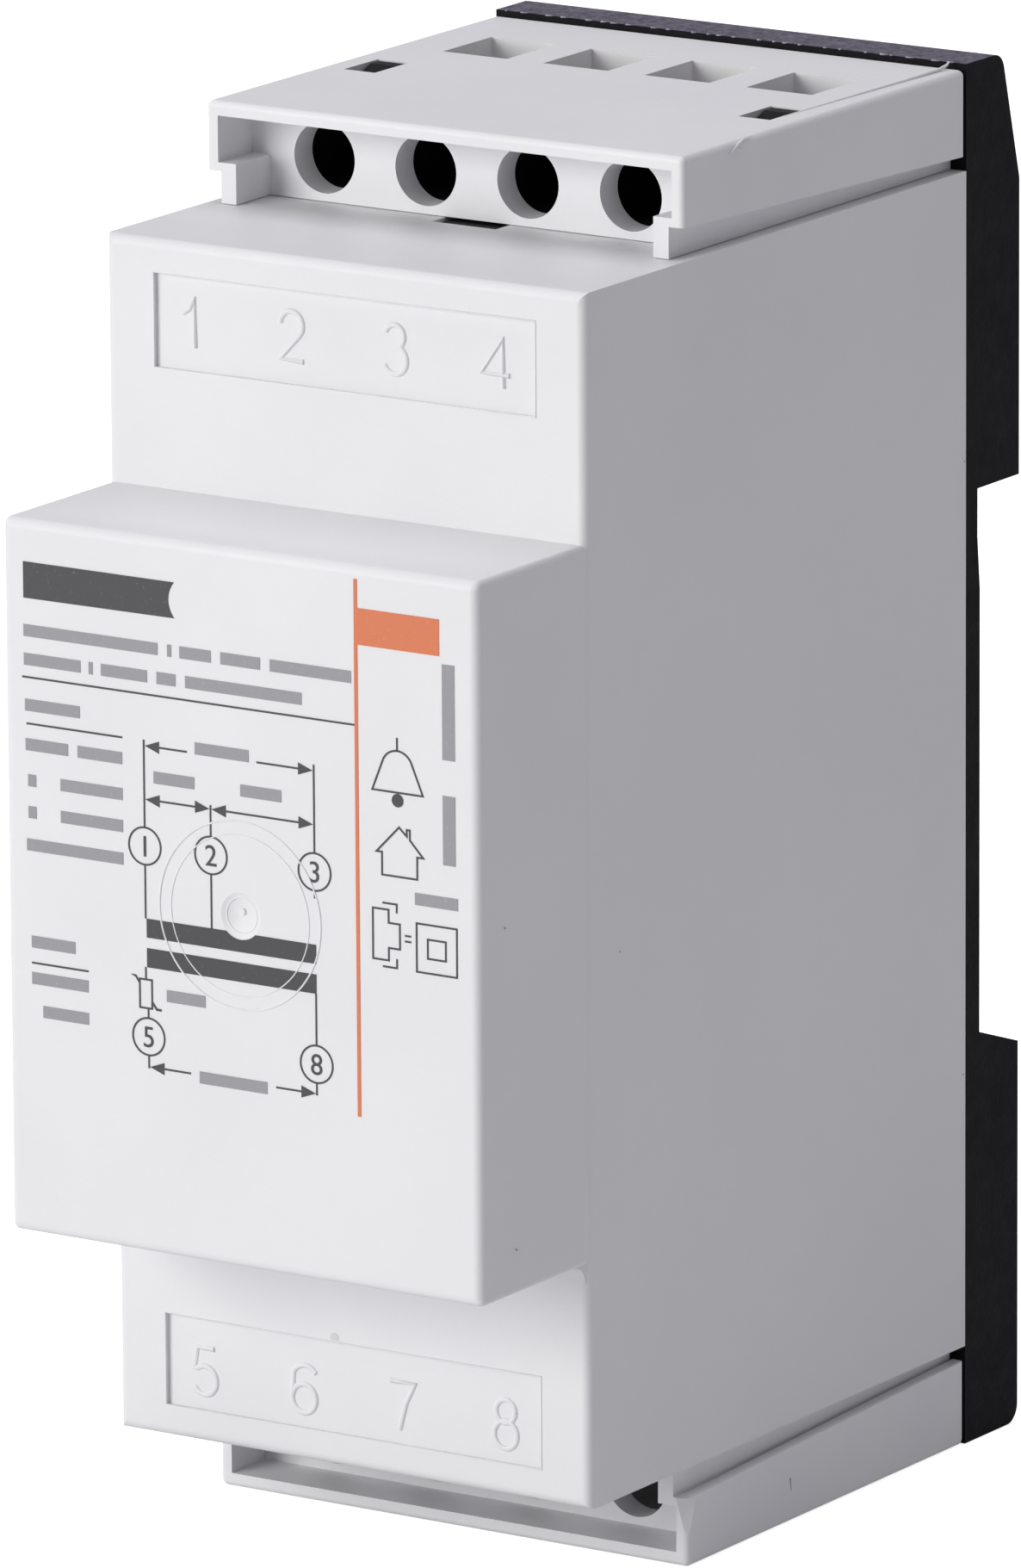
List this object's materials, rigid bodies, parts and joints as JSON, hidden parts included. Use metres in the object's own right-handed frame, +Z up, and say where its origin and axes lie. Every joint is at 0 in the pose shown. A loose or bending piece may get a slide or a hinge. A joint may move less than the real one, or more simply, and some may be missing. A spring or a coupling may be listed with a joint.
{
  "type": "doorbell transformer",
  "caption": "Two-module bell transformer for a 35 mm rail: stepped grey case, black base with rail hook and sliding latch, screw terminals under clip-on covers.",
  "frame": {"origin": "on the rail seat of the base, in the middle of the rail and of the width", "axes": "+X to the right seen from the front, along the rail; the front faces -Y; +Z up"},
  "size_m": [0.035, 0.062, 0.0893],
  "materials": {
    "light_grey_moulding": "fine matt moulded",
    "light_grey_cover": "fine matt moulded",
    "black_moulding": "matt spark-eroded texture",
    "black_comb": "matt moulded",
    "black_latch": "matt moulded",
    "lamination_steel": "varnished laminations",
    "coil_former_moulding": "moulded",
    "enamelled_copper": "enamelled wire",
    "insulating_tape": "polyester tape",
    "thermistor_coating": "dipped coating",
    "lead_insulation": "extruded insulation",
    "contact_brass": "stamped",
    "clamp_steel": "zinc plated",
    "screw_steel": "zinc plated"
  },
  "bodies": {
    "case": {"housing": "light_grey_moulding", "base": "black_moulding", "top_terminal_cover": "light_grey_cover", "bottom_terminal_cover": "light_grey_cover", "core_e_stack": "lamination_steel", "core_i_stack": "lamination_steel", "coil_former": "coil_former_moulding", "secondary_winding": "enamelled_copper", "primary_winding": "enamelled_copper", "secondary_insulation": "insulating_tape", "primary_insulation": "insulating_tape", "thermistor": "thermistor_coating", "primary_link": "lead_insulation", "thermistor_lead": "lead_insulation", "lead_1": "lead_insulation", "lead_2": "lead_insulation", "lead_3": "lead_insulation", "lead_8": "lead_insulation", "top_terminal_comb": "black_comb", "bottom_terminal_comb": "black_comb", "terminal_contact_1": "contact_brass", "terminal_contact_2": "contact_brass", "terminal_contact_3": "contact_brass", "terminal_contact_5": "contact_brass", "terminal_contact_8": "contact_brass"},
    "latch": {"rail_latch": "black_latch"},
    "screw_1": {"terminal_screw_1": "screw_steel"},
    "clamp_1": {"terminal_clamp_1": "clamp_steel"},
    "screw_2": {"terminal_screw_2": "screw_steel"},
    "clamp_2": {"terminal_clamp_2": "clamp_steel"},
    "screw_3": {"terminal_screw_3": "screw_steel"},
    "clamp_3": {"terminal_clamp_3": "clamp_steel"},
    "screw_5": {"terminal_screw_5": "screw_steel"},
    "clamp_5": {"terminal_clamp_5": "clamp_steel"},
    "screw_8": {"terminal_screw_8": "screw_steel"},
    "clamp_8": {"terminal_clamp_8": "clamp_steel"}
  },
  "joints": [
    {"name": "latch_slide", "type": "slide", "parent": "case", "child": "latch", "axis": [0, 0, -1], "range_m": [0, 0.0025]},
    {"name": "screw_1_turn", "type": "hinge", "parent": "case", "child": "screw_1", "pos_m": [-0.01125, -0.022, 0.04085], "axis": [0, 1, 0], "range_deg": [0, 2881]},
    {"name": "clamp_1_draw", "type": "slide", "parent": "case", "child": "clamp_1", "axis": [0, -1, 0], "range_m": [0, 0.004]},
    {"name": "screw_2_turn", "type": "hinge", "parent": "case", "child": "screw_2", "pos_m": [-0.00375, -0.022, 0.04085], "axis": [0, 1, 0], "range_deg": [0, 2881]},
    {"name": "clamp_2_draw", "type": "slide", "parent": "case", "child": "clamp_2", "axis": [0, -1, 0], "range_m": [0, 0.004]},
    {"name": "screw_3_turn", "type": "hinge", "parent": "case", "child": "screw_3", "pos_m": [0.00375, -0.022, 0.04085], "axis": [0, 1, 0], "range_deg": [0, 2881]},
    {"name": "clamp_3_draw", "type": "slide", "parent": "case", "child": "clamp_3", "axis": [0, -1, 0], "range_m": [0, 0.004]},
    {"name": "screw_5_turn", "type": "hinge", "parent": "case", "child": "screw_5", "pos_m": [-0.01125, -0.022, -0.04085], "axis": [0, 1, 0], "range_deg": [0, 2881]},
    {"name": "clamp_5_draw", "type": "slide", "parent": "case", "child": "clamp_5", "axis": [0, -1, 0], "range_m": [0, 0.004]},
    {"name": "screw_8_turn", "type": "hinge", "parent": "case", "child": "screw_8", "pos_m": [0.01125, -0.022, -0.04085], "axis": [0, 1, 0], "range_deg": [0, 2881]},
    {"name": "clamp_8_draw", "type": "slide", "parent": "case", "child": "clamp_8", "axis": [0, -1, 0], "range_m": [0, 0.004]}
  ],
  "couplings": [
    {"joint": "screw_1_turn", "follows": "clamp_1_draw", "rad_per_m": 12566},
    {"joint": "screw_2_turn", "follows": "clamp_2_draw", "rad_per_m": 12566},
    {"joint": "screw_3_turn", "follows": "clamp_3_draw", "rad_per_m": 12566},
    {"joint": "screw_5_turn", "follows": "clamp_5_draw", "rad_per_m": 12566},
    {"joint": "screw_8_turn", "follows": "clamp_8_draw", "rad_per_m": 12566}
  ]
}
